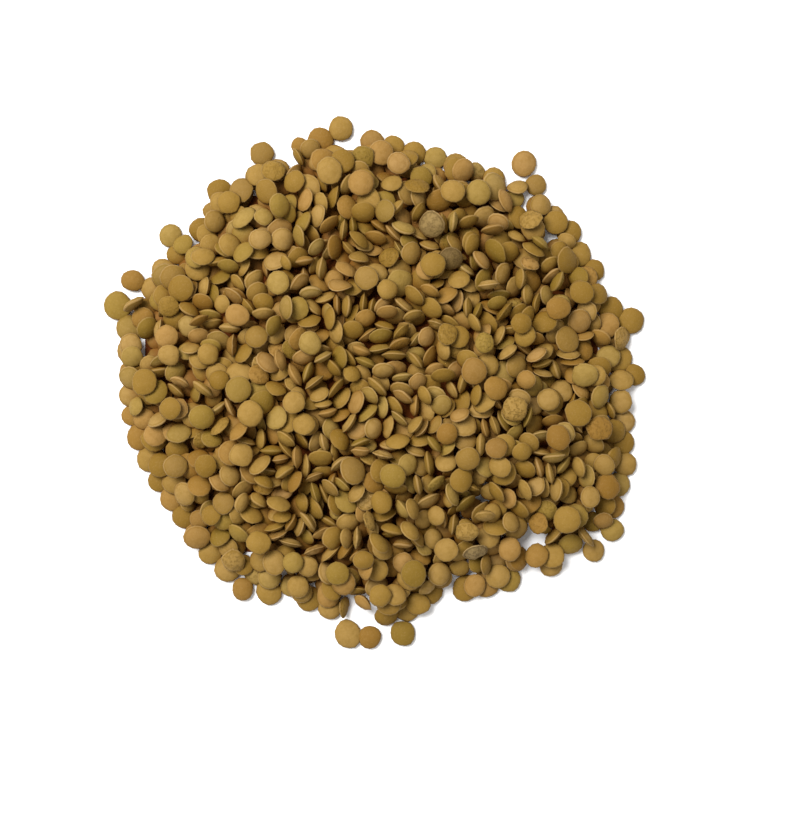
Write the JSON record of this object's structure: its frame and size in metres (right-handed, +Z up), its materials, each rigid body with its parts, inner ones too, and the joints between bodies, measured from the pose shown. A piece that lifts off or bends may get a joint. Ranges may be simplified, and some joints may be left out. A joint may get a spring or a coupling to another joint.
{
  "type": "heap of dry lentils",
  "caption": "Loose heap of dry brown-green lentils, one lentil thick at its uneven edge and piled into a low mound in the middle, with a flat underside to rest on.",
  "frame": {"origin": "under the middle of the heap's box, on the surface it lies on", "axes": "+Z up; +X to the right and +Y to the top in the view from straight above, as in the picture"},
  "size_m": [0.1412, 0.1388, 0.0204],
  "materials": {
    "lentils": "matte dry seed coat, khaki tan with green and orange-brown lentils among them"
  },
  "bodies": {
    "root": {"lentil_heap": "lentils"}
  },
  "joints": []
}
